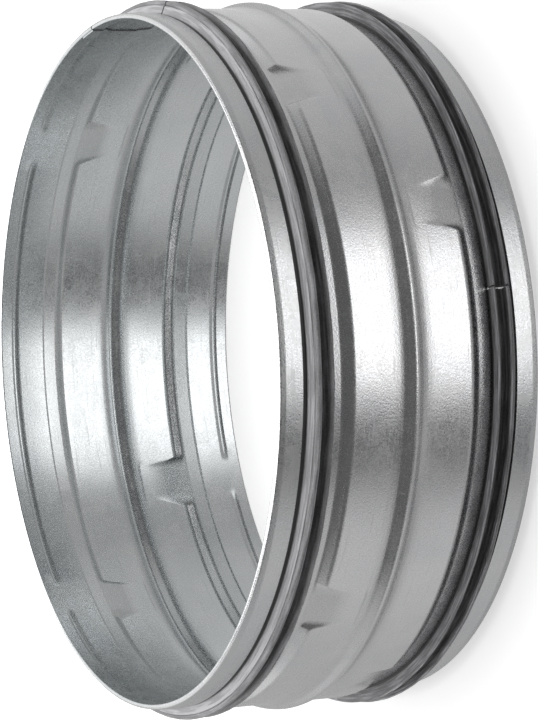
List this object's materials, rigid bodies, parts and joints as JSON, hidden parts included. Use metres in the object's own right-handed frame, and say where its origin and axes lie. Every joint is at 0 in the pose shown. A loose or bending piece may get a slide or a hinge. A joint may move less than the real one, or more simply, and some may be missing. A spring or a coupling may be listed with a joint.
{
  "type": "ventilation duct coupling nipple",
  "caption": "Round sheet steel coupling that joins two spiral ducts, with a central stop ridge, folded-back rims and a double-lip rubber seal at each end.",
  "frame": {"origin": "centre of the lower rim's plane, on the duct axis", "axes": "+Z along the duct axis from the lower rim to the upper rim; the fitting stands on its lower rim. -Y is the side turned to the viewer, and the sheet's lap lies just past +X on the inside."},
  "size_m": [0.2036, 0.2036, 0.077],
  "materials": {
    "galvanised_sheet": "galvanised, semi-bright with fine grain",
    "seal_rubber": "satin extruded rubber"
  },
  "bodies": {
    "root": {"duct_shell": "galvanised_sheet", "lower_seal": "seal_rubber", "upper_seal": "seal_rubber"}
  },
  "joints": []
}
